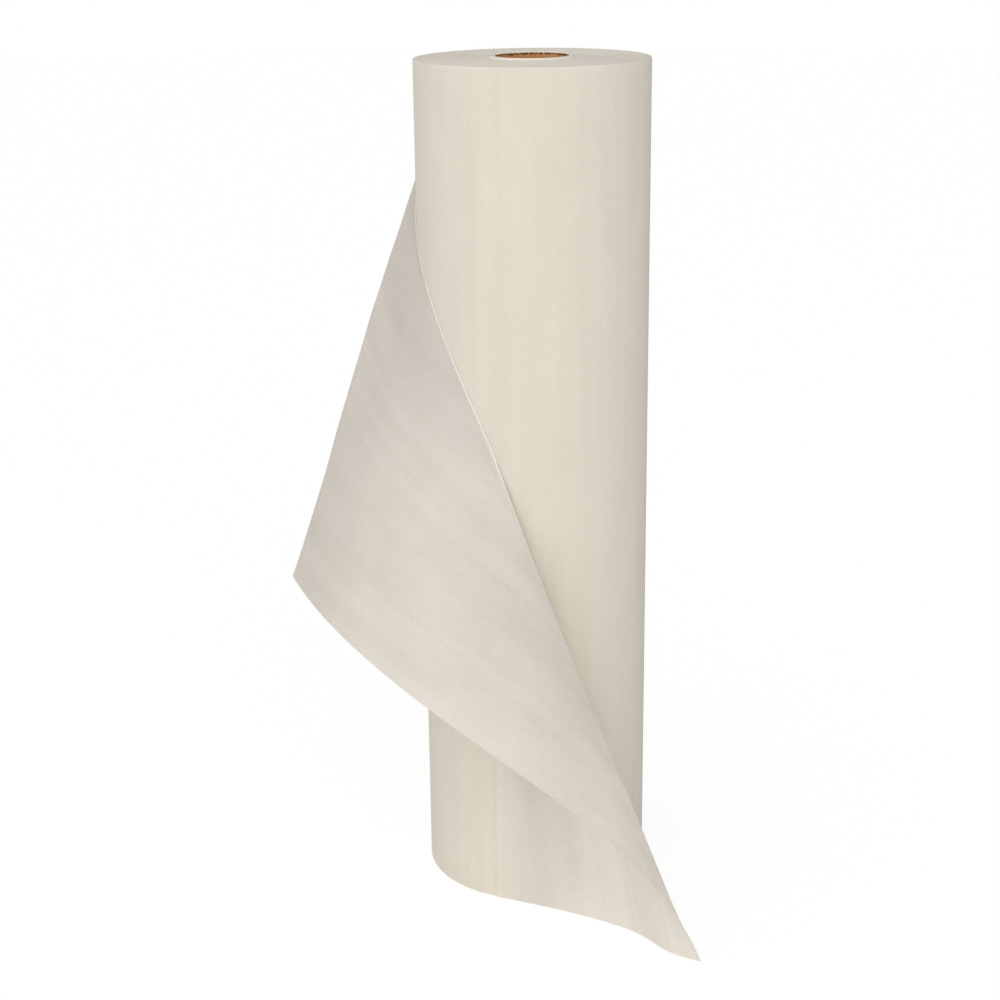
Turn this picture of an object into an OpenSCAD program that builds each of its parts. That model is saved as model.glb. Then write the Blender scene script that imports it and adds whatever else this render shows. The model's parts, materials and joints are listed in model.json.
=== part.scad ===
// Roll of examination table paper, standing on end.
// The web is wound on a paperboard core. Its loose end leaves the roll at the front, touches the
// floor out to a tip on the right, and is folded back on itself over the roll's left side.
// Units are millimetres. The roll's axis is Z, and its lower end stands on z = 0.
// Angles are in degrees round that axis from the front, and grow towards the right.

/* [Roll] */
// Width of the web, which is the height of the standing roll
roll_len = 457; // [380:1:560]
// Outside diameter of the wound paper
roll_d = 124; // [100:1:150]
// Thickness of the creped web
web_t = 0.28; // [0.2:0.01:0.5]

/* [Core] */
// Bore of the core, which a holder's bar goes through
core_bore_d = 38.1; // [25:0.1:50]
// Wall of the paperboard core
core_wall = 1.6; // [1:0.1:3]
// How far the core's cut end stands out above the paper's upper end
core_proud = 1; // [0:0.1:4]
// Glue line between the core and the innermost turn, left open
core_gap = 0.1; // [0:0.05:0.4]

/* [Turns] */
// Distance between the turns that stand out as rings on the roll's ends
ring_step = 3; // [2:0.5:5]
// Width of the groove between two such rings
ring_gap = 0.5; // [0.2:0.1:0.8]
// Depth of that groove
ring_depth = 0.3; // [0.1:0.1:1]
// Height of the lip that the innermost turns make round the core's upper end
lip_h = 1; // [0.2:0.1:3]
// Width of that lip
lip_w = 1.4; // [0.5:0.1:1.6]

/* [Loose end] */
// Where the fold starts on the upper rim
fold_start = -151; // [-170:1:-135]
// Where the web leaves the roll
leave_at = -21; // [-30:1:-12]
// Height of the fold where the web leaves the roll
leave_height = 263; // [230:1:290]
// Length of web between there and its cut end
free_len = 145; // [130:1:170]
// Radius of the bend in the pressed part of the fold
fold_r = 0.7; // [0.5:0.1:1.5]
// Length of paper in the bend where the fold is pressed flat
crease_w = 5; // [4:0.5:8]
// Length of paper in the bend where the fold opens out at the cut edge
open_w = 14; // [10:0.5:20]
// Reach of the tip on the floor, out from the roll's side
tip_reach = 90.5; // [80:0.5:105]
// Reach of the hanging corner, out from the roll's side
corner_reach = 84.5; // [75:0.5:95]
// How far the hanging corner lies below the upper rim
corner_drop = 302; // [285:1:320]

/* [Hidden] */

roll_r = roll_d / 2;
core_r = core_bore_d / 2;
core_out_r = core_r + core_wall;
core_h = roll_len + core_proud;
turns_in_r = core_out_r + core_gap;
// How far a cut runs past the face that it opens
cut_over = 1;
paper_white = "#DDD5C8";
kraft_brown = "#B9824F";

// The loose end is a sheet of columns and rows. A column follows the web's own upright threads,
// from the floor up to the fold and on over the flap to the web's upper edge. The share u runs from
// 0 at the fold's start to 1 at the cut edge.
arc_columns = 20;
free_columns = 14;
low_rows = 5;
bend_rows = 6;
flap_rows = 15;
// Depth to which the sheet's roots lie inside the wound paper
root = 0.8;

arc_len = (leave_at - fold_start) * PI / 180 * roll_r;
loose_len = arc_len + free_len;
u_leave = arc_len / loose_len;
columns = arc_columns + free_columns;
rows = low_rows + bend_rows + flap_rows;

// Slope of the fold against the web's threads: at its start, where the web leaves, at the cut edge
fold_slope = [52, 64.5, 61.5];
// Height on the cut edge at which the fold ends, counted along the web's width
fold_end = 30;

function polar(ang, reach, h) =
    [(roll_r + reach) * sin(ang), -(roll_r + reach) * cos(ang), h];

// Reach and height, or drop below the upper rim, of the points that pull the edges into shape, and the
// slope at which the fold leaves the roll
cut_low_reach = 114;
cut_low_height = 139;
cut_mid_reach = 189;
cut_mid_height = 175;
cut_high_reach = 81;
cut_high_drop = 253;
rim_near_reach = 54;
rim_near_drop = 79;
rim_far_reach = 64;
rim_far_drop = 192;
fold_pull = 103;
fold_pull_slope = 69.5;
fold_low_reach = 79;
fold_low_height = 126;
floor_pull = 118;
floor_low_reach = 56;

// Edges of the loose end, each a Bezier curve through its own few points
tip = polar(34.5, tip_reach, 0);
corner = polar(-105.5, corner_reach, roll_len - corner_drop);
cut_pts = [tip, polar(13, cut_low_reach, cut_low_height), polar(-20, cut_mid_reach, cut_mid_height),
    polar(-74, cut_high_reach, roll_len - cut_high_drop), corner];
rim_pts = [polar(fold_start, fold_r, roll_len), polar(-139, rim_near_reach, roll_len - rim_near_drop),
    polar(-122, rim_far_reach, roll_len - rim_far_drop), corner];
leave_dir = [cos(leave_at), sin(leave_at), 0];
fold_dir = [leave_dir.x, leave_dir.y, -tan(fold_pull_slope)] * cos(fold_pull_slope);
leave_top = polar(leave_at, fold_r, leave_height);
leave_foot = polar(leave_at, fold_r, 0);
fold_pts = [leave_top, leave_top + fold_pull * fold_dir, polar(15.7, fold_low_reach, fold_low_height),
    bez(cut_pts, fold_end / roll_len)];
floor_pts = [leave_foot, leave_foot + floor_pull * leave_dir, polar(23, floor_low_reach, 0), tip];
// Powers of u by which the flap takes on the bow of the cut edge, outward and in height
bow_out = 1.8;
bow_up = 3;

// Point of a Bezier curve by de Casteljau's rule
function bez(p, t) = len(p) == 1 ? p[0]
    : (1 - t) * bez([for (i = [0:len(p) - 2]) p[i]], t) + t * bez([for (i = [1:len(p) - 1]) p[i]], t);

// Share of the way from the leaving line to the cut edge
function free(u) = max(0, (u - u_leave) / (1 - u_leave));
function ang(u) = fold_start + (leave_at - fold_start) * u / u_leave;

// Height of the fold on the flat web: two cubic pieces that meet with one slope
function fold_height(u) =
    let (rise = [for (s = fold_slope) tan(s) * loose_len / 3])
    u < u_leave
    ? bez([roll_len, roll_len - rise[0] * u_leave, leave_height + rise[1] * u_leave, leave_height],
        u / u_leave)
    : bez([leave_height, leave_height - rise[1] * (1 - u_leave), fold_end + rise[2] * (1 - u_leave),
        fold_end], free(u));
function fold_line(u) = u < u_leave ? polar(ang(u), fold_r, fold_height(u)) : bez(fold_pts, free(u));
function floor_edge(u) = bez(floor_pts, free(u));
function rim_edge(u) = bez(rim_pts, u);
function cut_edge(f) = bez(cut_pts, f);
// Bow of a stretch of the cut edge away from its chord
function bow(a, b, f) = cut_edge(a + (b - a) * f) - (1 - f) * cut_edge(a) - f * cut_edge(b);

// Outward direction that parts the two layers at the fold, fading out as the fold opens
function part_dir(u) = let (a = ang(min(u, u_leave))) [sin(a), -cos(a), 0] * fold_r * (1 - free(u));
// Upright web between the floor and the fold, and the flap between the fold and the rim edge
function web(u, f) = (1 - f) * floor_edge(u) + f * fold_line(u) - part_dir(u) * f
    + free(u) * bow(0, fold_end / roll_len, f);
function flap(u, f) = let (b = bow(fold_end / roll_len, 1, f), o = pow(u, bow_out))
    (1 - f) * fold_line(u) + f * rim_edge(u) + part_dir(u) * pow(1 - f, 2)
    + [o * b.x, o * b.y, pow(u, bow_up) * b.z];

// The bend takes this much of the web below the fold and of the flap above it
function bend_w(u) = crease_w + (open_w - crease_w) * pow(free(u), 2);
function web_share(u) = 1 - min(0.5, bend_w(u) / fold_height(u));
function flap_share(u) = min(0.4, bend_w(u) / norm(rim_edge(u) - fold_line(u)));
// The bend itself: a cubic whose middle lies on the fold line
function bend(u, t) =
    let (a = u < u_leave ? polar(ang(u), -root, fold_height(u) - bend_w(u)) : web(u, web_share(u)),
        b = flap(u, flap_share(u)), g = fold_line(u), d = part_dir(u))
    bez([a, a + (g - d - a) * 4 / 3, b + (g + d - b) * 4 / 3, b], t);

// Share at which a column stands
function share(i) = i <= arc_columns ? u_leave * i / arc_columns
    : u_leave + (1 - u_leave) * (i - arc_columns) / free_columns;

// One point of the sheet's middle surface. Below the fold it starts where the web leaves the roll,
// sunk to its root there.
function sheet_point(i, j) =
    let (u = share(i))
    i == 0 ? polar(fold_start, -root, roll_len - root)
    : j < low_rows ? (i == arc_columns ? polar(leave_at, -root, j / low_rows * web_share(u) * leave_height)
        : web(u, j / low_rows * web_share(u)))
    : j == low_rows && i == arc_columns ? polar(leave_at, -root, web_share(u) * leave_height)
    : j <= low_rows + bend_rows ? bend(u, (j - low_rows) / bend_rows)
    : let (f = flap_share(u)) flap(u, f + (1 - f) * (j - low_rows - bend_rows) / flap_rows);

function first_row(i) = i < arc_columns ? low_rows : 0;
function unit(v) = v / max(norm(v), 1e-9);

module loose_end() {
    mid = [for (i = [0:columns]) [for (j = [0:rows]) sheet_point(i, max(j, first_row(i)))]];
    // Normal by central differences, kept level along the floor
    normal = [for (i = [0:columns]) [for (j = [0:rows])
        let (i0 = max(i - 1, j < low_rows ? arc_columns : 0), i1 = min(i + 1, columns),
            j0 = max(j - 1, first_row(i)), j1 = min(max(j + 1, first_row(i) + 1), rows),
            n = i == 0 ? [0, 0, 1] : cross(mid[i1][j] - mid[i0][j], mid[i][j1] - mid[i][j0]))
        j == 0 ? unit([n.x, n.y, 0]) : unit(n)]];
    pts = [for (side = [-1, 1]) for (i = [0:columns]) for (j = [0:rows])
        mid[i][j] + (i == 0 ? 0 : side * web_t / 2) * normal[i][j]];
    layer = (columns + 1) * (rows + 1);
    function at(i, j, side) = side * layer + i * (rows + 1) + j;
    // The start of the fold is one point, so its cells are single triangles
    start = at(0, low_rows, 0);
    fan = [for (j = [low_rows:rows - 1]) each [
        [start, at(1, j, 0), at(1, j + 1, 0)],
        [start, at(1, j + 1, 1), at(1, j, 1)]]];
    cells = [for (i = [1:columns - 1]) for (j = [first_row(i):rows - 1]) each [
        [at(i, j, 0), at(i + 1, j, 0), at(i + 1, j + 1, 0)],
        [at(i, j, 0), at(i + 1, j + 1, 0), at(i, j + 1, 0)],
        [at(i, j, 1), at(i + 1, j + 1, 1), at(i + 1, j, 1)],
        [at(i, j, 1), at(i, j + 1, 1), at(i + 1, j + 1, 1)]]];
    // Outline of the sheet, once round, as pairs of grid places
    outline = concat(
        [for (i = [1:arc_columns - 1]) [i, low_rows]],
        [for (j = [low_rows:-1:1]) [arc_columns, j]],
        [for (i = [arc_columns:columns - 1]) [i, 0]],
        [for (j = [0:rows - 1]) [columns, j]],
        [for (i = [columns:-1:1]) [i, rows]]);
    edge = [for (k = [0:len(outline) - 2])
        let (p = outline[k], q = outline[k + 1]) each [
        [at(p[0], p[1], 0), at(p[0], p[1], 1), at(q[0], q[1], 1)],
        [at(p[0], p[1], 0), at(q[0], q[1], 1), at(q[0], q[1], 0)]]];
    ends = [
        [start, at(1, low_rows, 1), at(1, low_rows, 0)],
        [start, at(1, rows, 0), at(1, rows, 1)]];
    polyhedron(pts, concat(fan, cells, edge, ends));
}

// Half section of the wound paper, with the grooves between its turns on both ends and the lip of the
// innermost turns on the upper one
module wound_section() {
    grooves = floor((roll_r - turns_in_r - ring_gap) / ring_step);
    lower = [for (k = [1:grooves])
        let (r = turns_in_r + k * ring_step) each [
        [r - ring_gap / 2, 0], [r, ring_depth], [r + ring_gap / 2, 0]]];
    upper = [for (k = [len(lower) - 1:-1:0]) [lower[k].x, roll_len - lower[k].y]];
    polygon(concat([[turns_in_r, 0]], lower, [[roll_r, 0], [roll_r, roll_len]], upper,
        [[turns_in_r + lip_w, roll_len], [turns_in_r + lip_w / 2, roll_len + lip_h],
        [turns_in_r, roll_len + lip_h]]));
}

module paper() {
    color(paper_white) {
        rotate_extrude($fn = 180) wound_section();
        loose_end();
    }
}

module core() {
    color(kraft_brown)
    difference() {
        cylinder(h = core_h, r = core_out_r, $fn = 96);
        translate([0, 0, -cut_over]) cylinder(h = core_h + 2 * cut_over, r = core_r, $fn = 96);
    }
}

paper();
core();
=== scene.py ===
import json

import bmesh
import bpy
import numpy as np
from mathutils import Matrix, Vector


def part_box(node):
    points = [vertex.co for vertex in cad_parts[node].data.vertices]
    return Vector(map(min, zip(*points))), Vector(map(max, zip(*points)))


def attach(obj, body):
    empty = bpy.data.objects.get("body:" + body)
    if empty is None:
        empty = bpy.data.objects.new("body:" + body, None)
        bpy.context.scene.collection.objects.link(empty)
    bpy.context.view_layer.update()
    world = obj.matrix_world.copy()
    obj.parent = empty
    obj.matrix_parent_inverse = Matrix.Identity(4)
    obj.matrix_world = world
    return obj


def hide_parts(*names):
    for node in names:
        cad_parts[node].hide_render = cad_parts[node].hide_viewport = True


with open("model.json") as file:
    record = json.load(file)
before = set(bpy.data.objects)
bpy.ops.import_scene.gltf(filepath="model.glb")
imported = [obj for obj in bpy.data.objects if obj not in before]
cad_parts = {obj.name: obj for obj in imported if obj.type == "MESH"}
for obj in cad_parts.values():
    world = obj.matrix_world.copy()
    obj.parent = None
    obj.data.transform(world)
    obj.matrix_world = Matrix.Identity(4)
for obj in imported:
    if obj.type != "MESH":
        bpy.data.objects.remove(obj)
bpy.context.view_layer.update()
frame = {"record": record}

bl_info = {
    "name": "Exam table paper roll",
    "version": (1, 0, 0),
    "blender": (4, 5, 0),
    "location": "3D View > Sidebar > Paper roll",
    "description": "A roll of examination table paper, standing on end with its loose end folded back",
    "category": "Add Mesh",
}

BORE = next(m for m in frame["record"]["mounts"] if m["kind"] == "bore")
CORE_TOP = float(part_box("core")[1][2])
MM = 0.001


def linear(hex_colour):
    """Linear colour of an sRGB hex colour."""
    c = np.array([int(hex_colour[i:i + 2], 16) for i in (1, 3, 5)]) / 255
    return tuple(np.where(c <= 0.04045, c / 12.92, ((c + 0.055) / 1.055) ** 2.4)) + (1.0,)


def length(name, description, default):
    return bpy.props.FloatProperty(name=name, description=description, default=default, min=0.0,
                                   unit="LENGTH", precision=5)


def angle(name, description, degrees):
    return bpy.props.FloatProperty(name=name, description=description, default=np.radians(degrees),
                                   subtype="ANGLE", unit="ROTATION")


def colour(name, description, hex_colour):
    return bpy.props.FloatVectorProperty(name=name, description=description, subtype="COLOR", size=4,
                                         min=0.0, max=1.0, default=linear(hex_colour))


# Sizes and colours

class RollSizes(bpy.types.PropertyGroup):
    web_width: length("Web width", "Width of the web, the height of the standing roll", 0.457)
    diameter: length("Diameter", "Outside diameter of the wound paper", 0.124)
    web_t: length("Web thickness", "Thickness of the creped web", 0.00028)
    bore_r: length("Core bore radius", "Radius of the core's bore", BORE["dims"]["r_mm"] * MM)
    core_wall: length("Core wall", "Wall of the paperboard core", 0.0016)
    core_gap: length("Core gap", "Glue line between the core and the innermost turn", 0.0001)
    core_top: length("Core top", "Height of the core's cut end above the floor", CORE_TOP)
    lip_h: length("Lip height", "Height of the innermost turns above the end face", 0.0010)
    lip_w: length("Lip width", "Width of the raised innermost turns", 0.0014)


class LooseEndSizes(bpy.types.PropertyGroup):
    fold_start: angle("Fold start", "Where the fold starts on the upper rim", -151)
    leave_at: angle("Leaving line", "Where the web leaves the roll", -21)
    leave_height: length("Leaving height", "Height of the fold where the web leaves the roll", 0.263)
    free_len: length("Free length", "Web between the leaving line and the cut end", 0.145)
    fold_r: length("Fold radius", "Radius of the bend in the pressed part of the fold", 0.00028)
    crease_w: length("Crease width", "Paper in the bend where the fold is pressed flat", 0.0025)
    open_w: length("Open fold width", "Paper in the bend where the fold is round and open", 0.015)
    tip_reach: length("Tip reach", "Reach of the tip on the floor from the roll's side", 0.0905)
    corner_reach: length("Corner reach", "Reach of the hanging corner from the roll's side", 0.0845)
    corner_drop: length("Corner drop", "Drop of the hanging corner below the upper rim", 0.302)


class Finishes(bpy.types.PropertyGroup):
    paper: colour("Paper", "The web's own colour", "#DDD6C8")
    paper_deep: colour("Paper, deep", "The web's colour in the hollows of its crepe", "#D5CDC0")
    loose: colour("Loose paper", "A single layer of the web", "#F4F0E9")
    loose_deep: colour("Loose paper, deep", "A single layer in the hollows of its crepe", "#E8E3DB")
    # The crease tone is a painted highlight on the bend of the pressed fold.
    crease_painted_highlight: colour("Crease", "The whitened bend of the pressed fold", "#E9E4DA")
    turns: colour("Turn edges", "Cut edges of the turns on the roll's ends", "#F6EFE3")
    # The deeper turn tone is partly a random ring tone and partly painted shade in the gaps between the
    # turns.
    turns_deep_and_gap_shade: colour("Turn gaps", "The dark between loose turns", "#E0D8CA")
    kraft: colour("Kraft board", "The core's inside wall", "#DC9F68")
    kraft_deep: colour("Kraft fibres", "Darker fibres of the core's board", "#A8703E")
    kraft_cut: colour("Cut board", "The ragged inner edge of the core's cut end", "#5E3A1A")
    kraft_end: colour("Board end", "The plies in the core's cut end", "#EADFD0")


# Meshes

def quads(columns, rows, wrap_columns=False, wrap_rows=False):
    """Corner numbers of the cells of a grid whose points are numbered row by row within a column."""
    i = np.arange(columns if wrap_columns else columns - 1)[:, None]
    j = np.arange(rows if wrap_rows else rows - 1)[None, :]
    i1, j1 = (i + 1) % columns, (j + 1) % rows
    return np.stack([i * rows + j, i1 * rows + j, i1 * rows + j1, i * rows + j1], -1).reshape(-1, 4)


def make_object(name, points, faces, uv, materials, part_of=None, sharp=40, lift=None):
    """A mesh object from an array of points, an array of four-cornered faces and one UV per corner.
    part_of numbers each face's material. The last argument, one number per point of loose share with
    painted shade and a painted highlight, is kept as an attribute."""
    mesh = bpy.data.meshes.new(name)
    mesh.vertices.add(len(points))
    mesh.vertices.foreach_set("co", np.asarray(points, np.float32).ravel())
    mesh.loops.add(faces.size)
    mesh.loops.foreach_set("vertex_index", faces.astype(np.int32).ravel())
    mesh.polygons.add(len(faces))
    mesh.polygons.foreach_set("loop_start", np.arange(0, faces.size, 4, dtype=np.int32))
    for material in materials:
        mesh.materials.append(material)
    if part_of is not None:
        mesh.polygons.foreach_set("material_index", part_of.astype(np.int32))
    layer = mesh.uv_layers.new(name="web")
    layer.data.foreach_set("uv", np.asarray(uv, np.float32).reshape(-1))
    if lift is not None:
        mesh.attributes.new("lift", "FLOAT", "POINT").data.foreach_set("value", lift.astype(np.float32))
    mesh.update(calc_edges=True)
    edit = bmesh.new()
    edit.from_mesh(mesh)
    bmesh.ops.remove_doubles(edit, verts=edit.verts, dist=2e-6)
    edit.to_mesh(mesh)
    edit.free()
    mesh.polygons.foreach_set("use_smooth", np.ones(len(mesh.polygons), bool))
    mesh.set_sharp_from_angle(angle=np.radians(sharp))
    mesh.validate()
    obj = bpy.data.objects.new(name, mesh)
    bpy.context.scene.collection.objects.link(obj)
    return obj


def turned(profile, angles, shift):
    """Surface of revolution: each profile point (radius, height) turned round Z to each angle. shift is
    an array of (angles, profile points, 2) added to radius and height."""
    rz = profile + shift
    a = angles[:, None]
    points = np.stack([rz[..., 0] * np.cos(a), rz[..., 0] * np.sin(a), rz[..., 1]], -1)
    return points.reshape(-1, 3)


def waves(x, period, amount, seed, count=7):
    """Sum of sines of x with periods spread by up to a half round the given one and random phases."""
    rng = np.random.default_rng(seed)
    periods = period * rng.uniform(0.6, 1.6, count)
    phases = rng.uniform(0, 2 * np.pi, count)
    x = np.asarray(x)[..., None]
    return amount * np.sin(2 * np.pi * x / periods + phases).sum(-1) / np.sqrt(count)


def round_waves(a, turns, amount, seed, count=7):
    """The same round a full circle of angle a, so that its end meets its start."""
    rng = np.random.default_rng(seed)
    k = np.round(turns * rng.uniform(0.6, 1.6, count)).clip(1)
    phases = rng.uniform(0, 2 * np.pi, count)
    a = np.asarray(a)[..., None]
    return amount * np.sin(k * a + phases).sum(-1) / np.sqrt(count)


# Shape of the loose end

def polar(s, ang, reach, height):
    """Point at an angle round the roll from its front, reach out from its side, and at a height."""
    r = s["roll_r"] + reach
    return np.stack(np.broadcast_arrays(r * np.sin(ang), -r * np.cos(ang), height), -1)


def bez(points, t):
    """Point of a Bezier curve by de Casteljau's rule, for an array of shares t."""
    p = [np.asarray(q, float) for q in points]
    t = np.asarray(t, float)[..., None]
    while len(p) > 1:
        p = [(1 - t) * a + t * b for a, b in zip(p[:-1], p[1:])]
    return p[0]


def loose_end_values(roll, sizes):
    """The loose end's sizes as plain numbers, with the points that pull its edges into shape."""
    s = {k: getattr(sizes, k) for k in sizes.__annotations__}
    s["roll_r"], s["top"], s["web_t"] = roll.diameter / 2, roll.web_width, roll.web_t
    deg, top = np.radians, roll.web_width
    s["arc_len"] = (s["leave_at"] - s["fold_start"]) * s["roll_r"]
    s["loose_len"] = s["arc_len"] + s["free_len"]
    s["u_leave"] = s["arc_len"] / s["loose_len"]
    s["slope"] = np.tan(deg([52, 64.5, 61.5])) * s["loose_len"] / 3
    s["fold_end"] = 30 * MM
    tip = polar(s, deg(34.5), s["tip_reach"], 0)
    corner = polar(s, deg(-105.5), s["corner_reach"], top - s["corner_drop"])
    s["cut"] = [tip, polar(s, deg(13), 114 * MM, 139 * MM), polar(s, deg(-20), 189 * MM, 175 * MM),
                polar(s, deg(-74), 81 * MM, top - 253 * MM), corner]
    # lay: how far out the middle of the sheet lies on the roll's side. flush: how far in it lies where
    # its face is to be flush with the side
    s["lay"], s["flush"] = roll.web_t / 2, 0.02 * MM - roll.web_t / 2
    s["rim"] = [polar(s, s["fold_start"], s["lay"], top), polar(s, deg(-139), 54 * MM, top - 79 * MM),
                polar(s, deg(-122), 64 * MM, top - 192 * MM), corner]
    away = np.array([np.cos(s["leave_at"]), np.sin(s["leave_at"]), 0])
    slope = deg(69.5)
    down = np.array([away[0], away[1], -np.tan(slope)]) * np.cos(slope)
    leave_top = polar(s, s["leave_at"], s["lay"], s["leave_height"])
    leave_foot = polar(s, s["leave_at"], s["lay"], 0)
    s["fold"] = [leave_top, leave_top + 103 * MM * down, polar(s, deg(15.7), 79 * MM, 126 * MM),
                 bez(s["cut"], s["fold_end"] / top)]
    s["floor"] = [leave_foot, leave_foot + 118 * MM * away, polar(s, deg(23), 56 * MM, 0), tip]
    return s


def free(s, u):
    """Share of the way from the leaving line to the cut edge."""
    return np.maximum(0, (u - s["u_leave"]) / (1 - s["u_leave"]))


def round_at(s, u):
    """Angle round the roll at which the web lies there."""
    return s["fold_start"] + (s["leave_at"] - s["fold_start"]) * np.minimum(u / s["u_leave"], 1)


def fold_height(s, u):
    """Height of the fold on the flat web: two cubic pieces that meet with one slope."""
    k, v, rise = s["u_leave"], free(s, u), s["slope"]
    top, leave, end = s["top"], s["leave_height"], s["fold_end"]
    one = [[x] for x in (top, top - rise[0] * k, leave + rise[1] * k, leave)]
    two = [[x] for x in (leave, leave - rise[1] * (1 - k), end + rise[2] * (1 - k), end)]
    return np.where(u < k, bez(one, np.minimum(u / k, 1))[..., 0], bez(two, v)[..., 0])


def fold_line(s, u):
    """The fold: on the roll's side as far as the leaving line, and a Bezier curve from there."""
    on_roll = polar(s, round_at(s, u), s["lay"], fold_height(s, u))
    return np.where((u < s["u_leave"])[..., None], on_roll, bez(s["fold"], free(s, u)))


def part_dir(s, u):
    """Outward direction that parts the two layers at the fold, fading out as the fold opens."""
    a = round_at(s, u)
    n = np.stack([np.sin(a), -np.cos(a), 0 * a], -1)
    return n * (s["fold_r"] * (1 - free(s, u)))[..., None]


def bow(s, a, b, f):
    """Bow of a stretch of the cut edge away from its chord."""
    chord = (1 - f)[..., None] * bez(s["cut"], a) + f[..., None] * bez(s["cut"], b)
    return bez(s["cut"], a + (b - a) * f) - chord


def web(s, u, f):
    """Upright web: straight blend of the floor edge and the fold, with the cut edge's bow added as it
    nears that edge. Beside the leaving line it sinks until its face is flush with the roll's side."""
    v, g = free(s, u)[..., None], f[..., None]
    p = (1 - g) * bez(s["floor"], v[..., 0]) + g * fold_line(s, u) - part_dir(s, u) * g
    p = p + v * bow(s, 0, s["fold_end"] / s["top"], f)
    a = s["leave_at"]
    out = np.array([np.sin(a), -np.cos(a), 0])
    near = np.maximum(0, 1 - v[..., 0] / 0.3) ** 2
    sink = (s["lay"] - f * s["fold_r"] - s["flush"]) * near
    return p - sink[..., None] * out


def flap(s, u, f):
    """Flap: straight blend of the fold and the rim edge, raised off the layer below near the fold, with
    the cut edge's bow added by a power of the share u, a higher one for its height."""
    g = f[..., None]
    return ((1 - g) * fold_line(s, u) + g * bez(s["rim"], u) + part_dir(s, u) * (1 - g) ** 2
            + np.stack([u ** 1.8, u ** 1.8, u ** 3], -1) * bow(s, s["fold_end"] / s["top"], 1, f))


def bend_w(s, u):
    """Paper that the bend takes on each side of the fold, growing soon after the leaving line."""
    return s["crease_w"] + (s["open_w"] - s["crease_w"]) * (1 - (1 - free(s, u)) ** 3)


def web_share(s, u):
    return 1 - np.minimum(0.5, bend_w(s, u) / fold_height(s, u))


def flap_share(s, u):
    across = np.linalg.norm(bez(s["rim"], u) - fold_line(s, u), axis=-1)
    return np.minimum(0.4, bend_w(s, u) / np.maximum(across, 1e-6))


def bend(s, u, t):
    """The bend: a cubic whose middle lies on the fold. On the roll it starts flush with the side."""
    on_roll = polar(s, round_at(s, u), s["flush"], fold_height(s, u) - bend_w(s, u))
    a = np.where((u < s["u_leave"])[..., None], on_roll, web(s, u, web_share(s, u)))
    b = flap(s, u, flap_share(s, u))
    g, d = fold_line(s, u), part_dir(s, u)
    return bez([a, a + (g - d - a) * 4 / 3, b + (g + d - b) * 4 / 3, b], t)


def loose_end_grid(s, columns, low_rows, bend_rows, flap_rows):
    """Middle surface of the loose end as a grid of points, its flat web coordinates, and the first row
    that each column has. Columns follow the web's upright threads and rows its length."""
    k = round(columns * s["u_leave"])
    u = np.concatenate([np.linspace(0, s["u_leave"], k + 1),
                        np.linspace(s["u_leave"], 1, columns - k + 1)[1:]])[:, None]
    low = np.linspace(0, 1, low_rows + 1)[None, :-1] * web_share(s, u)
    turn = np.linspace(0, 1, bend_rows + 1)[None, :-1]
    share = flap_share(s, u)
    high = share + (1 - share) * np.linspace(0, 1, flap_rows + 1)[None, :] ** 1.5
    wide = [np.broadcast_to(u, x.shape) for x in (low, turn + 0 * u, high)]
    mid = np.concatenate([web(s, wide[0], low), bend(s, wide[1], turn + 0 * u), flap(s, wide[2], high)], 1)
    fold, w = fold_height(s, u), bend_w(s, u)
    z = np.concatenate([low * fold, fold - w + 2 * w * turn, fold + (s["top"] - fold) * high], 1)
    flat = np.stack([np.broadcast_to(u * s["loose_len"], z.shape), z], -1)
    first = np.where(np.arange(len(u)) < k, low_rows, 0)
    mid[0] = mid[0, -1]
    return mid, flat, first, k


def unit(v):
    return v / np.maximum(np.linalg.norm(v, axis=-1, keepdims=True), 1e-12)


# Materials

def add_node(tree, kind, settings=None, **links):
    """Adds a node. settings sets its properties, and sockets by name or number; links joins sockets,
    written as name=(node, output). An underscore in a link's name stands for a space."""
    node = tree.nodes.new(kind)
    for key, value in (settings or {}).items():
        if isinstance(key, str) and hasattr(node, key):
            setattr(node, key, value)
        else:
            node.inputs[key].default_value = value
    for name, (source, output) in links.items():
        key = int(name[1:]) if name[0] == "i" and name[1:].isdigit() else name.replace("_", " ")
        tree.links.new(source.outputs[output], node.inputs[key])
    return node


def new_material(name):
    material = bpy.data.materials.new(name)
    material.use_nodes = True
    tree = material.node_tree
    tree.nodes.clear()
    return material, tree, tree.nodes.new("ShaderNodeOutputMaterial")


def noise(tree, source, output, scale, detail, rough):
    """Noise whose blobs are about one unit wide once the coordinates are multiplied by scale."""
    scaled = add_node(tree, "ShaderNodeMapping", {"Scale": scale}, Vector=(source, output))
    return add_node(tree, "ShaderNodeTexNoise", {"Scale": 1.0, "Detail": detail, "Roughness": rough},
                    Vector=(scaled, 0))


def weighted(tree, parts):
    """Sum of (node, output, weight), each taken about its middle of a half."""
    total = None
    for node, output, weight in parts:
        one = add_node(tree, "ShaderNodeMath", {"operation": "MULTIPLY_ADD", 1: weight, 2: -0.5 * weight},
                       i0=(node, output))
        total = one if total is None else add_node(tree, "ShaderNodeMath", {"operation": "ADD"},
                                                   i0=(total, 0), i1=(one, 0))
    return total


def per_mm(x, y, z=0.0):
    """Mapping scale for a pattern with features of x by y (by z) millimetres, on coordinates in metres."""
    return tuple(1000 / v if v else 0.0 for v in (x, y, z))


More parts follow.
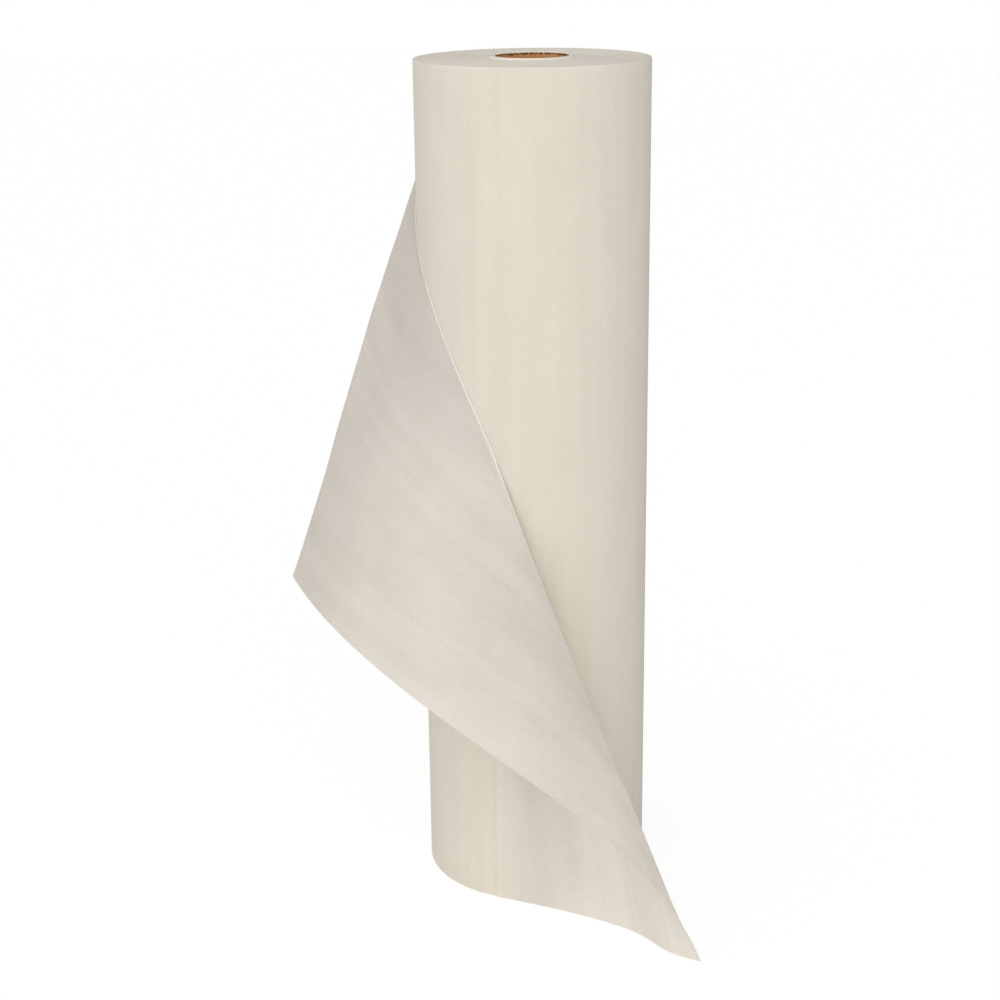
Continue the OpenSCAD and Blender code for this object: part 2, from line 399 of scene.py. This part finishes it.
def creped_paper(name, pale, deep, loose_tones_and_painted_highlight=None, see_through=0.0):
    """Creped exam paper: matt white web with fine upright crepe, soft fibre clouds and faint broad
    streaks. Where the point attribute rises to 1, the two tones turn to the first two loose tones, and
    each face passes on the share see_through of the light. From 1 to 2 they turn to the third tone, a
    painted highlight. Without loose tones, the paper lies turn on turn, and light spreads a little within it."""
    material, tree, out = new_material(name)
    uv = add_node(tree, "ShaderNodeUVMap", {"uv_map": "web"})
    crepe = noise(tree, uv, 0, per_mm(0.7, 7), 2, 0.6)
    fibre = noise(tree, uv, 0, per_mm(2.2, 3.4), 3, 0.6)
    streak = noise(tree, uv, 0, per_mm(9, 160), 1, 0.5)
    cloud = noise(tree, uv, 0, per_mm(26, 40), 2, 0.5)
    tone = weighted(tree, [(crepe, 0, 0.5), (fibre, 0, 0.9), (streak, 0, 0.9), (cloud, 0, 0.7)])
    share = add_node(tree, "ShaderNodeMath", {"operation": "ADD", 1: 0.45, "use_clamp": True}, i0=(tone, 0))
    mix = add_node(tree, "ShaderNodeMix", {"data_type": "RGBA", 6: pale, 7: deep}, i0=(share, 0))
    if loose_tones_and_painted_highlight:
        lift = add_node(tree, "ShaderNodeAttribute", {"attribute_name": "lift"})
        loose = add_node(tree, "ShaderNodeMix", {"data_type": "RGBA", 6: loose_tones_and_painted_highlight[0], 7: loose_tones_and_painted_highlight[1]},
                         i0=(share, 0))
        mix = add_node(tree, "ShaderNodeMix", {"data_type": "RGBA"}, i0=(lift, 2), i6=(mix, 2), i7=(loose, 2))
        # from 1 to 2 the tones turn to the third, a painted highlight on the fold's bend, which passes on no
        # light
        more = add_node(tree, "ShaderNodeMath", {"operation": "SUBTRACT", 1: 1.0, "use_clamp": True},
                        i0=(lift, 2))
        mix = add_node(tree, "ShaderNodeMix", {"data_type": "RGBA", 7: loose_tones_and_painted_highlight[2]}, i0=(more, 0), i6=(mix, 2))
    relief = weighted(tree, [(crepe, 0, 1.0), (fibre, 0, 0.6)])
    bump = add_node(tree, "ShaderNodeBump", {"Strength": 0.5, "Distance": 0.05 * MM}, Height=(relief, 0))
    skin = add_node(tree, "ShaderNodeBsdfPrincipled", {"Roughness": 0.9, "Specular IOR Level": 0.2},
                    Base_Color=(mix, 2), Normal=(bump, 0))
    if loose_tones_and_painted_highlight:
        back = add_node(tree, "ShaderNodeBsdfTranslucent", {}, Color=(mix, 2), Normal=(bump, 0))
        share = add_node(tree, "ShaderNodeMath", {"operation": "PINGPONG", 1: 1.0}, i0=(lift, 2))
        share = add_node(tree, "ShaderNodeMath", {"operation": "MULTIPLY", 1: see_through}, i0=(share, 0))
        both = add_node(tree, "ShaderNodeMixShader", {}, i0=(share, 0), i1=(skin, 0), i2=(back, 0))
        tree.links.new(both.outputs[0], out.inputs[0])
    else:
        skin.inputs["Subsurface Weight"].default_value = 0.6
        skin.inputs["Subsurface Radius"].default_value = (1.0, 1.0, 1.0)
        skin.inputs["Subsurface Scale"].default_value = 3 * MM
        tree.links.new(skin.outputs[0], out.inputs[0])
    return material


def turn_edges(name, pale, deep):
    """Cut edges of the wound turns: rings of slightly different tone and height, at the turns' own
    pitch and in wider groups. The deeper tone falls where the rings sink: partly painted shade in the gaps."""
    material, tree, out = new_material(name)
    here = add_node(tree, "ShaderNodeTexCoord")
    split = add_node(tree, "ShaderNodeSeparateXYZ", {}, Vector=(here, 3))
    flat = add_node(tree, "ShaderNodeCombineXYZ", {}, X=(split, 0), Y=(split, 1))
    radius = add_node(tree, "ShaderNodeVectorMath", {"operation": "LENGTH"}, i0=(flat, 0))
    ring = add_node(tree, "ShaderNodeCombineXYZ", {}, X=(radius, 1))
    fine = noise(tree, ring, 0, per_mm(0.28, 0), 1, 0.5)
    groups = noise(tree, ring, 0, per_mm(1.6, 0), 2, 0.6)
    broad = noise(tree, ring, 0, per_mm(7, 0), 1, 0.5)
    fibre = noise(tree, here, 3, per_mm(0.8, 0.8, 0.8), 3, 0.6)
    tone = weighted(tree, [(fine, 0, 0.9), (groups, 0, 1.2), (broad, 0, 0.6), (fibre, 0, 0.6)])
    share = add_node(tree, "ShaderNodeMath", {"operation": "ADD", 1: 0.3, "use_clamp": True}, i0=(tone, 0))
    # the deep tone follows the sunken rings: partly painted shade in the gaps between turns
    mix = add_node(tree, "ShaderNodeMix", {"data_type": "RGBA", 6: pale, 7: deep}, i0=(share, 0))
    relief = weighted(tree, [(fine, 0, 0.5), (groups, 0, 1.0)])
    bump = add_node(tree, "ShaderNodeBump", {"Strength": 0.7, "Distance": 0.25 * MM, "invert": True},
                    Height=(relief, 0))
    skin = add_node(tree, "ShaderNodeBsdfPrincipled", {"Roughness": 0.95, "Specular IOR Level": 0.15},
                    Base_Color=(mix, 2), Normal=(bump, 0))
    tree.links.new(skin.outputs[0], out.inputs[0])
    return material


def kraft_board(name, board, fibres, cut, end, cut_height, inner_r):
    """Spiral-wound kraft board: brown with darker fibres along its length and round, a dark ragged band
    inside along the top of the wall, and paler plies in the cut end itself."""
    material, tree, out = new_material(name)
    uv = add_node(tree, "ShaderNodeUVMap", {"uv_map": "web"})
    here = add_node(tree, "ShaderNodeTexCoord")
    split = add_node(tree, "ShaderNodeSeparateXYZ", {}, Vector=(here, 3))
    fibre = noise(tree, uv, 0, per_mm(1.2, 0.3), 3, 0.65)
    blotch = noise(tree, uv, 0, per_mm(9, 14), 2, 0.5)
    tone = weighted(tree, [(fibre, 0, 1.6), (blotch, 0, 0.8)])
    share = add_node(tree, "ShaderNodeMath", {"operation": "ADD", 1: 0.35, "use_clamp": True}, i0=(tone, 0))
    mix = add_node(tree, "ShaderNodeMix", {"data_type": "RGBA", 6: board, 7: fibres}, i0=(share, 0))
    ragged = noise(tree, uv, 0, per_mm(2.2, 9), 2, 0.7)
    edge = add_node(tree, "ShaderNodeMath", {"operation": "MULTIPLY_ADD", 1: 3.5 * MM}, i0=(ragged, 0),
                    i2=(split, 2))
    band = add_node(tree, "ShaderNodeMapRange", {1: cut_height + 0.5 * MM, 2: cut_height + 0.9 * MM},
                    i0=(edge, 0))
    dark = add_node(tree, "ShaderNodeMix", {"data_type": "RGBA", 7: cut}, i0=(band, 0), i6=(mix, 2))
    flat = add_node(tree, "ShaderNodeCombineXYZ", {}, X=(split, 0), Y=(split, 1))
    radius = add_node(tree, "ShaderNodeVectorMath", {"operation": "LENGTH"}, i0=(flat, 0))
    plies = add_node(tree, "ShaderNodeMapRange", {1: inner_r + 0.12 * MM, 2: inner_r + 0.3 * MM},
                     i0=(radius, 1))
    dark = add_node(tree, "ShaderNodeMix", {"data_type": "RGBA", 7: end}, i0=(plies, 0), i6=(dark, 2))
    bump = add_node(tree, "ShaderNodeBump", {"Strength": 0.6, "Distance": 0.1 * MM}, Height=(fibre, 0))
    skin = add_node(tree, "ShaderNodeBsdfPrincipled", {"Roughness": 0.85, "Specular IOR Level": 0.25},
                    Base_Color=(dark, 2), Normal=(bump, 0))
    tree.links.new(skin.outputs[0], out.inputs[0])
    return material


# Operators

class PAPERROLL_OT_core(bpy.types.Operator):
    """Adds the paperboard core: a closed tube turned round Z, whose cut end is ragged by a sum of sines
    round it, and whose inside has the faint step of a spiral ply"""
    bl_idname = "paper_roll.core"
    bl_label = "Core"

    def execute(self, context):
        roll, finish = context.scene.paper_roll, context.scene.paper_roll_finishes
        r0, r1, top = roll.bore_r, roll.bore_r + roll.core_wall, roll.core_top
        a = np.linspace(0, 2 * np.pi, 360, endpoint=False)
        rows = np.concatenate([np.linspace(0, top - 6 * MM, 40),
                               np.linspace(top - 5 * MM, top - 0.3 * MM, 8)])
        inside = np.stack([np.full(len(rows), r0), rows], -1)[::-1]
        outside = np.stack([np.full(len(rows), r1), rows], -1)
        crown = np.stack([np.linspace(r1 - 0.15 * MM, r0 + 0.15 * MM, 7), np.full(7, top)], -1)
        profile = np.concatenate([outside, crown, inside])
        n, m = len(outside), len(crown)
        shift = np.zeros((len(a), len(profile), 2))
        ragged = round_waves(a, 60, 0.16 * MM, 3) + round_waves(a, 150, 0.12 * MM, 4)
        ends = np.concatenate([np.zeros(n - 3), [0.3, 0.6, 1], np.ones(m), [1, 0.6, 0.3], np.zeros(n - 3)])
        shift[..., 1] = (ragged[:, None] - 0.3 * MM) * ends
        shift[:, n:n + m, 1] += np.random.default_rng(5).normal(0, 0.06 * MM, (len(a), m))
        # a ply's edge climbs round the bore at 34 degrees: its inner face steps by 0.08 mm
        steep = r0 * np.tan(np.radians(34))
        climb = np.mod(a[:, None] * steep - profile[None, :, 1], 2 * np.pi * steep)
        inner = np.arange(len(profile)) >= n + m
        shift[..., 0] += inner * 0.08 * MM * (1 - np.exp(-(climb / (1.2 * MM)) ** 2))
        points = turned(profile, a, shift)
        faces = quads(len(a), len(profile), True, True)
        around = np.append(a, 2 * np.pi)
        along = np.append(profile[:, 1] + np.where(inner, 0, 0.5), profile[0, 1] + 0.5)
        i, j = np.divmod(np.arange(len(a) * len(profile)), len(profile))
        uv = np.stack([np.stack([around[i + di] * r0, along[j + dj]], -1)
                       for di, dj in ((0, 0), (1, 0), (1, 1), (0, 1))], 1)
        board = kraft_board("Kraft board", finish.kraft, finish.kraft_deep, finish.kraft_cut,
                            finish.kraft_end, top, r0)
        obj = make_object("core_tube", points, faces, uv, [board])
        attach(obj, "root")
        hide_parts("core")
        return {"FINISHED"}


class PAPERROLL_OT_turns(bpy.types.Operator):
    """Adds the wound paper: a closed ring section turned round Z, with the edges of its turns as small
    steps on both ends, the innermost turns raised in a lip, and soft outer edges"""
    bl_idname = "paper_roll.turns"
    bl_label = "Wound paper"

    def execute(self, context):
        roll, finish = context.scene.paper_roll, context.scene.paper_roll_finishes
        r0, r1, top = roll.bore_r + roll.core_wall + roll.core_gap, roll.diameter / 2, roll.web_width
        soft = 0.8 * MM
        a = np.linspace(0, 2 * np.pi, 288, endpoint=False)
        corner = np.linspace(0, np.pi / 2, 6)
        low_r = np.linspace(r0 + 0.1 * MM, r1 - soft, 60)
        high_r = np.linspace(r1 - soft, r0 + 0.1 * MM, 150)
        rise = np.linspace(0.02, 0.98, 26) * (top - 2 * soft) + soft
        wall = np.stack([np.full(len(rise), r1), rise], -1)
        low_corner = np.stack([r1 - soft + soft * np.sin(corner), soft - soft * np.cos(corner)], -1)
        high_corner = np.stack([r1 - soft + soft * np.cos(corner), top - soft + soft * np.sin(corner)], -1)

        def steps(r, seed):
            """Height of the turns' edges at radius r: waves of a few turns and of some tens of turns."""
            edge = np.clip((r1 - soft - r) / (1.5 * MM), 0, 1) * np.clip((r - r0) / (0.5 * MM), 0, 1)
            return (waves(r, 0.9 * MM, 0.05 * MM, seed) + waves(r, 3.5 * MM, 0.06 * MM, seed + 1)) * edge

        lip = roll.lip_h / (1 + np.exp((high_r - r0 - roll.lip_w) / (0.18 * MM)))
        lower = np.stack([low_r, 0.12 * MM + steps(low_r, 11).clip(-0.12 * MM)], -1)
        lower[::8, 1] = 0
        upper = np.stack([high_r, top + steps(high_r, 21) + lip], -1)
        inner = np.stack([np.full(12, r0), np.linspace(top + roll.lip_h - 0.1 * MM, 0.1 * MM, 12)], -1)
        profile = np.concatenate([lower, low_corner[1:], wall, high_corner[:-1], upper, inner])
        n0 = len(lower)
        n1 = n0 + len(low_corner) - 1 + len(wall) + len(high_corner) - 1
        shift = np.zeros((len(a), len(profile), 2))
        # turns bulge a little here and there round the end, and the side waves a little
        bulge = round_waves(a, 5, 0.05 * MM, 31)[:, None] * waves(profile[:, 0], 12 * MM, 1.0, 32)[None]
        on_top = (np.arange(len(profile)) >= n1) & (profile[:, 1] > top - 1 * MM)
        shift[..., 1] = bulge * on_top * np.clip((r1 - soft - profile[:, 0]) / (2 * MM), 0, 1)
        side = (np.abs(profile[:, 0] - r1) < 0.01 * MM)
        shift[..., 0] = side * round_waves(a, 4, 0.07 * MM, 33)[:, None]
        points = turned(profile, a, shift)
        faces = quads(len(a), len(profile), True, True)
        i, j = np.divmod(np.arange(len(a) * len(profile)), len(profile))
        part_of = np.where((j >= n0 - 1) & (j < n1), 0, 1)
        around = np.append(a, 2 * np.pi)
        step = np.linalg.norm(np.diff(profile, axis=0, append=profile[:1]), axis=1)
        along = np.append(0, np.cumsum(step)) - step[:n0].sum()
        uv = np.stack([np.stack([around[i + di] * r1, along[j + dj]], -1)
                       for di, dj in ((0, 0), (1, 0), (1, 1), (0, 1))], 1)
        obj = make_object("wound_paper", points, faces, uv, [
            creped_paper("Creped exam paper, wound", finish.paper, finish.paper_deep),
            turn_edges("Cut edges of exam paper", finish.turns, finish.turns_deep_and_gap_shade)], part_of)
        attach(obj, "root")
        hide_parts("paper")
        return {"FINISHED"}


class PAPERROLL_OT_loose_end(bpy.types.Operator):
    """Adds the loose end: a thin closed sheet whose middle surface blends a floor edge, a fold and a rim
    edge, each a Bezier curve, and turns over the fold along cubics"""
    bl_idname = "paper_roll.loose_end"
    bl_label = "Loose end"

    def execute(self, context):
        roll, finish = context.scene.paper_roll, context.scene.paper_roll_finishes
        s = loose_end_values(roll, context.scene.paper_roll_loose_end)
        steps_along, low_rows, bend_rows, flap_rows = 150, 28, 16, 78
        mid, flat, first, k = loose_end_grid(s, steps_along, low_rows, bend_rows, flap_rows)
        columns, rows = mid.shape[:2]
        along = np.gradient(mid, axis=0)
        up = np.gradient(mid, axis=1)
        up[:k, low_rows] = mid[:k, low_rows + 1] - mid[:k, low_rows]
        normal = unit(np.cross(along, up))
        normal[0] = 0
        normal[:, 0] = unit(normal[:, 0] * [1, 1, 0])
        # slack paper waves a little, more towards the cut edge and not along the fold or the floor
        v, height = flat[..., 0] / s["loose_len"], flat[..., 1] / s["top"]
        fold = (fold_height(s, np.linspace(0, 1, columns)) / s["top"])[:, None]
        calm = np.clip(np.abs(height - fold) / 0.12, 0, 1) * np.clip(height / 0.1, 0, 1) * v
        ripple = waves(flat[..., 0] + 0.25 * flat[..., 1], 45 * MM, 0.14 * MM, 41) * calm
        mid = mid + normal * ripple[..., None]
        half = s["web_t"] / 2
        points = np.concatenate([(mid - normal * half).reshape(-1, 3), (mid + normal * half).reshape(-1, 3)])
        layer = columns * rows
        cell = quads(columns, rows)
        i, j = np.divmod(cell[:, 0], rows)
        cell = cell[j >= first[i]]
        outline = np.concatenate([
            np.arange(1, k) * rows + low_rows,
            k * rows + np.arange(low_rows, 0, -1),
            np.arange(k, columns - 1) * rows,
            (columns - 1) * rows + np.arange(rows - 1),
            np.arange(columns - 1, 0, -1) * rows + rows - 1,
            [low_rows, rows + low_rows]])
        p, q = outline[:-1], outline[1:]
        rim = np.stack([p, p + layer, q + layer, q], -1)
        faces = np.concatenate([cell, cell[:, ::-1] + layer, rim])
        uv = np.concatenate([flat.reshape(-1, 2)] * 2)[faces]
        # the point attribute: 0 where the sheet lies on the roll and 1 where it is loose. Behind the pressed
        # fold, where its two layers touch, it dips to paint a shade line, and on the fold's bend it rises up
        # to 2 to paint a highlight
        bend_highlight_at, bend_highlight_spread, shade_line_at, shade_line_spread = 1.5 * MM, 3 * MM, 8 * MM, 2 * MM
        past = (height - fold) * s["top"]
        loose = np.clip(free(s, v) / 0.12, 0, 1)
        lift = np.maximum(loose ** 2 * (3 - 2 * loose), np.clip(past / (0.6 * MM) + 0.8, 0, 1))
        pressed = np.clip(1 - free(s, v) / 0.3, 0, 1)
        # painted shade: a darker line behind the pressed fold, where the two layers touch
        lift = lift - 0.5 * pressed * np.exp(-((past - shade_line_at) / shade_line_spread) ** 2)
        # painted highlight: up to 2, the crease tone on the fold's bend
        lift = lift + pressed * np.exp(-((past - bend_highlight_at) / bend_highlight_spread) ** 2)
        lift = np.tile(lift.clip(0, 2).ravel(), 2)
        paper = creped_paper("Creped exam paper, loose", finish.paper, finish.paper_deep,
                             (finish.loose, finish.loose_deep, finish.crease_painted_highlight), see_through=0.45)
        used = np.unique(faces)
        renumber = np.zeros(2 * layer, int)
        renumber[used] = np.arange(len(used))
        obj = make_object("loose_end", points[used], renumber[faces], uv, [paper], sharp=50,
                          lift=lift[used])
        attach(obj, "root")
        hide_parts("paper")
        return {"FINISHED"}


class PAPERROLL_OT_studio(bpy.types.Operator):
    """Adds the white floor, the white world, one soft box and the camera"""
    bl_idname = "paper_roll.studio"
    bl_label = "Studio"

    def execute(self, context):
        scene = context.scene
        # floor: a matt white plane that keeps a faint shadow and shows white to the camera
        material, tree, out = new_material("White floor")
        path = add_node(tree, "ShaderNodeLightPath")
        seen = add_node(tree, "ShaderNodeMath", {"operation": "MAXIMUM"}, i0=(path, 0), i1=(path, 3))
        seen = add_node(tree, "ShaderNodeMath", {"operation": "MAXIMUM"}, i0=(seen, 0), i1=(path, 6))
        share = add_node(tree, "ShaderNodeMath", {"operation": "MULTIPLY_ADD", 1: 0.63, 2: 0.17},
                         i0=(seen, 0))
        matt = add_node(tree, "ShaderNodeBsdfDiffuse", {"Color": (0.9, 0.9, 0.9, 1)})
        glow = add_node(tree, "ShaderNodeEmission", {"Strength": 1.1})
        both = add_node(tree, "ShaderNodeMixShader", {}, i0=(share, 0), i1=(matt, 0), i2=(glow, 0))
        tree.links.new(both.outputs[0], out.inputs[0])
        x, y = np.meshgrid(np.linspace(-6, 6, 3), np.linspace(-6, 6, 3), indexing="ij")
        points = np.stack([x, y, 0 * x], -1).reshape(-1, 3)
        faces = quads(3, 3)
        floor = make_object("floor", points, faces, points[faces][..., :2], [material])

        world = bpy.data.worlds.new("White studio")
        scene.world = world
        world.use_nodes = True
        tree = world.node_tree
        tree.nodes.clear()
        out = tree.nodes.new("ShaderNodeOutputWorld")
        path = add_node(tree, "ShaderNodeLightPath")
        seen = add_node(tree, "ShaderNodeMath", {"operation": "MAXIMUM"}, i0=(path, 0), i1=(path, 3))
        seen = add_node(tree, "ShaderNodeMath", {"operation": "MAXIMUM"}, i0=(seen, 0), i1=(path, 6))
        # brighter from the front and the left, darker from behind
        here = add_node(tree, "ShaderNodeTexCoord")
        front = add_node(tree, "ShaderNodeVectorMath", {"operation": "DOT_PRODUCT", 1: (-0.35, -0.46, 0.08)},
                         i0=(here, 0))
        level = add_node(tree, "ShaderNodeMath", {"operation": "ADD", 1: 0.58}, i0=(front, 1))
        light = add_node(tree, "ShaderNodeBackground", {"Color": (1, 1, 1, 1)}, Strength=(level, 0))
        white = add_node(tree, "ShaderNodeBackground", {"Color": (1, 1, 1, 1), "Strength": 1.0})
        both = add_node(tree, "ShaderNodeMixShader", {}, i0=(seen, 0), i1=(light, 0), i2=(white, 0))
        tree.links.new(both.outputs[0], out.inputs[0])

        # one large soft box, in front and a little to the right, low enough to leave the end face greyer
        lamp = bpy.data.lights.new("Soft box", "AREA")
        lamp.shape, lamp.size, lamp.size_y, lamp.energy = "RECTANGLE", 1.6, 1.2, 18.5
        key = bpy.data.objects.new("Soft box", lamp)
        scene.collection.objects.link(key)
        at, aim = np.array([0.45, -2.4, 0.75]), np.array([0, 0, 0.22])
        back = (at - aim) / np.linalg.norm(at - aim)
        side = np.cross([0, 0, 1], back)
        side /= np.linalg.norm(side)
        key.matrix_world = placed(side, np.cross(back, side), back, at)

        # camera, as the photograph was taken: turned, tilted down and rolled by these angles
        yaw, down, roll = np.radians([-1.103, 17.79, -0.663])
        view = bpy.data.cameras.new("Camera")
        view.lens, view.sensor_width = 67.69, 36.0
        camera = bpy.data.objects.new("Camera", view)
        scene.collection.objects.link(camera)
        ahead = np.array([np.sin(yaw) * np.cos(down), np.cos(yaw) * np.cos(down), -np.sin(down)])
        level = np.array([np.cos(yaw), -np.sin(yaw), 0.0])
        over = np.cross(level, ahead)
        right = np.cos(roll) * level + np.sin(roll) * over
        above = -np.sin(roll) * level + np.cos(roll) * over
        camera.matrix_world = placed(right, above, -ahead, [0.0, -0.9976, 0.5362])
        scene.camera = camera
        scene.view_settings.view_transform = "Standard"
        return {"FINISHED"}


def placed(x, y, z, at):
    """Matrix whose columns are three directions and a place."""
    m = np.eye(4)
    m[:3, 0], m[:3, 1], m[:3, 2], m[:3, 3] = x, y, z, at
    return Matrix(m.tolist())


class PAPERROLL_PT_sidebar(bpy.types.Panel):
    bl_idname = "PAPERROLL_PT_sidebar"
    bl_label = "Exam table paper roll"
    bl_space_type = "VIEW_3D"
    bl_region_type = "UI"
    bl_category = "Paper roll"

    def draw(self, context):
        for group in (context.scene.paper_roll, context.scene.paper_roll_loose_end,
                      context.scene.paper_roll_finishes):
            box = self.layout.box()
            for name in group.__annotations__:
                box.prop(group, name)
        for operator in OPERATORS:
            self.layout.operator(operator.bl_idname)


OPERATORS = (PAPERROLL_OT_studio, PAPERROLL_OT_core, PAPERROLL_OT_turns, PAPERROLL_OT_loose_end)
CLASSES = (RollSizes, LooseEndSizes, Finishes) + OPERATORS + (PAPERROLL_PT_sidebar,)


def register():
    for cls in CLASSES:
        bpy.utils.register_class(cls)
    bpy.types.Scene.paper_roll = bpy.props.PointerProperty(type=RollSizes)
    bpy.types.Scene.paper_roll_loose_end = bpy.props.PointerProperty(type=LooseEndSizes)
    bpy.types.Scene.paper_roll_finishes = bpy.props.PointerProperty(type=Finishes)


def unregister():
    del bpy.types.Scene.paper_roll_finishes
    del bpy.types.Scene.paper_roll_loose_end
    del bpy.types.Scene.paper_roll
    for cls in reversed(CLASSES):
        bpy.utils.unregister_class(cls)


def main():
    register()
    bpy.ops.paper_roll.studio()
    bpy.ops.paper_roll.core()
    bpy.ops.paper_roll.turns()
    bpy.ops.paper_roll.loose_end()


if __name__ == "__main__":
    main()
